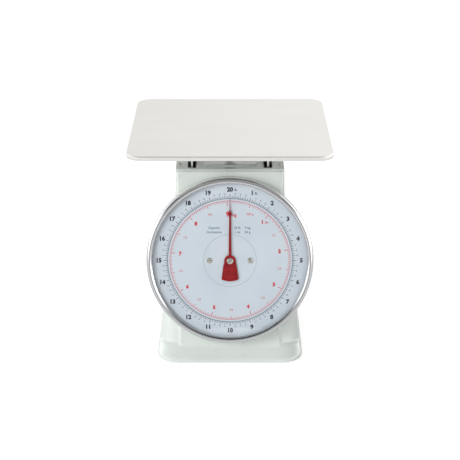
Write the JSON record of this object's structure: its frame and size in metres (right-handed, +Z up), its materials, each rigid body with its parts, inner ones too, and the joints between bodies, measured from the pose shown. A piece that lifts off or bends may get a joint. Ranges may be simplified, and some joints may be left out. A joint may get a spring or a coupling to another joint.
{
  "type": "mechanical dial platform scale",
  "caption": "Countertop spring scale: flared enamel casing with a leaning round dial, glass and chrome bezel, needle pointer, and a flat square tray on a guided carrier that sinks under load.",
  "frame": {"origin": "on the floor under the feet, at the centre of the whole scale's outline in plan", "axes": "+Z up, -Y out of the dial towards the reader, +X to the reader's right"},
  "size_m": [0.25, 0.2476, 0.281],
  "materials": {
    "enamel": "gloss mint-grey stoved enamel on pressed steel",
    "stainless": "satin stainless steel sheet",
    "chrome": "polished chrome plate",
    "dial_paint": "matt bluish white printed dial",
    "pointer_paint": "dark red paint",
    "glass": "clear pressed lens",
    "rubber": "matt black moulded rubber",
    "zinc": "bright zinc plated pressed steel",
    "brass": "rolled and machined brass",
    "spring_steel": "oiled spring wire",
    "screw_steel": "nickel plated turned steel",
    "knob_plastic": "black moulded plastic"
  },
  "bodies": {
    "housing": {"base_plate": "enamel", "bezel_ring": "chrome", "body_shell": "enamel", "cover_screw_front_left": "screw_steel", "cover_screw_front_right": "screw_steel", "cover_screw_rear_left": "screw_steel", "cover_screw_rear_right": "screw_steel", "dial_face": "dial_paint", "dial_lens": "glass", "dial_pan": "enamel", "dial_post_left": "brass", "dial_post_right": "brass", "dial_screw_left": "screw_steel", "dial_screw_right": "screw_steel", "foot_front_left": "rubber", "foot_front_right": "rubber", "foot_rear_left": "rubber", "foot_rear_right": "rubber", "frame_bridge": "zinc", "frame_upright_left": "zinc", "frame_upright_right": "zinc", "lens_gasket": "rubber", "lower_frame_pin": "screw_steel", "main_spring_left": "spring_steel", "main_spring_right": "spring_steel", "movement_front_plate": "brass", "movement_pillar_1": "brass", "movement_pillar_2": "brass", "movement_rear_plate": "brass", "rear_cover": "enamel", "rear_cover_screw_1": "screw_steel", "rear_cover_screw_2": "screw_steel", "rear_cover_screw_3": "screw_steel", "rear_cover_screw_4": "screw_steel", "top_cover": "enamel", "upper_frame_pin": "screw_steel"},
    "platform_carrier": {"carrier_side_left": "zinc", "carrier_side_right": "zinc", "platform_spider": "zinc", "buffer_front_left": "rubber", "buffer_front_right": "rubber", "buffer_rear_left": "rubber", "buffer_rear_right": "rubber", "rack": "brass", "rack_bracket": "zinc", "spring_crossbar": "zinc", "upper_carrier_pin": "screw_steel", "lower_carrier_pin": "screw_steel"},
    "tray": {"platform_tray": "stainless"},
    "pointer_shaft": {"pinion_arbor": "screw_steel", "pointer": "pointer_paint", "pointer_screw": "screw_steel"},
    "upper_link": {"upper_link": "zinc"},
    "lower_link": {"lower_link": "zinc"},
    "spring_hanger": {"spring_hanger": "zinc"},
    "zero_adjuster": {"zero_knob": "knob_plastic", "zero_screw": "screw_steel"}
  },
  "joints": [
    {"name": "platform_travel", "type": "slide", "parent": "housing", "child": "platform_carrier", "axis": [0, 0, -1], "range_m": [0, 0.0166], "stiffness_N_per_m": 5490, "springref_m": -0.004, "deforming": ["main_spring_left", "main_spring_right"]},
    {"name": "tray_lift", "type": "slide", "parent": "platform_carrier", "child": "tray", "axis": [0, 0, 1], "range_m": [0, 0.05]},
    {"name": "pointer_turn", "type": "hinge", "parent": "housing", "child": "pointer_shaft", "pos_m": [0, -0.07614, 0.12947], "axis": [0, -0.9703, 0.2419], "range_deg": [-370, 0]},
    {"name": "upper_link_swing", "type": "hinge", "parent": "housing", "child": "upper_link", "pos_m": [0, 0.0373, 0.205], "axis": [1, 0, 0], "range_deg": [0, 13.7]},
    {"name": "lower_link_swing", "type": "hinge", "parent": "housing", "child": "lower_link", "pos_m": [0, 0.0373, 0.112], "axis": [1, 0, 0], "range_deg": [0, 13.7]},
    {"name": "zero_knob_turn", "type": "hinge", "parent": "housing", "child": "zero_adjuster", "pos_m": [0, -0.01371, 0.22], "axis": [0, 0, 1], "range_deg": [-900, 900]},
    {"name": "hanger_slide", "type": "slide", "parent": "housing", "child": "spring_hanger", "axis": [0, 0, 1], "range_m": [-0.002, 0.002]}
  ],
  "couplings": [
    {"joint": "pointer_turn", "follows": "platform_travel", "rad_per_m": -388.12},
    {"joint": "upper_link_swing", "follows": "platform_travel", "rad_per_m": 14.286},
    {"joint": "lower_link_swing", "follows": "platform_travel", "rad_per_m": 14.286},
    {"joint": "zero_knob_turn", "follows": "hanger_slide", "rad_per_m": 7854}
  ]
}
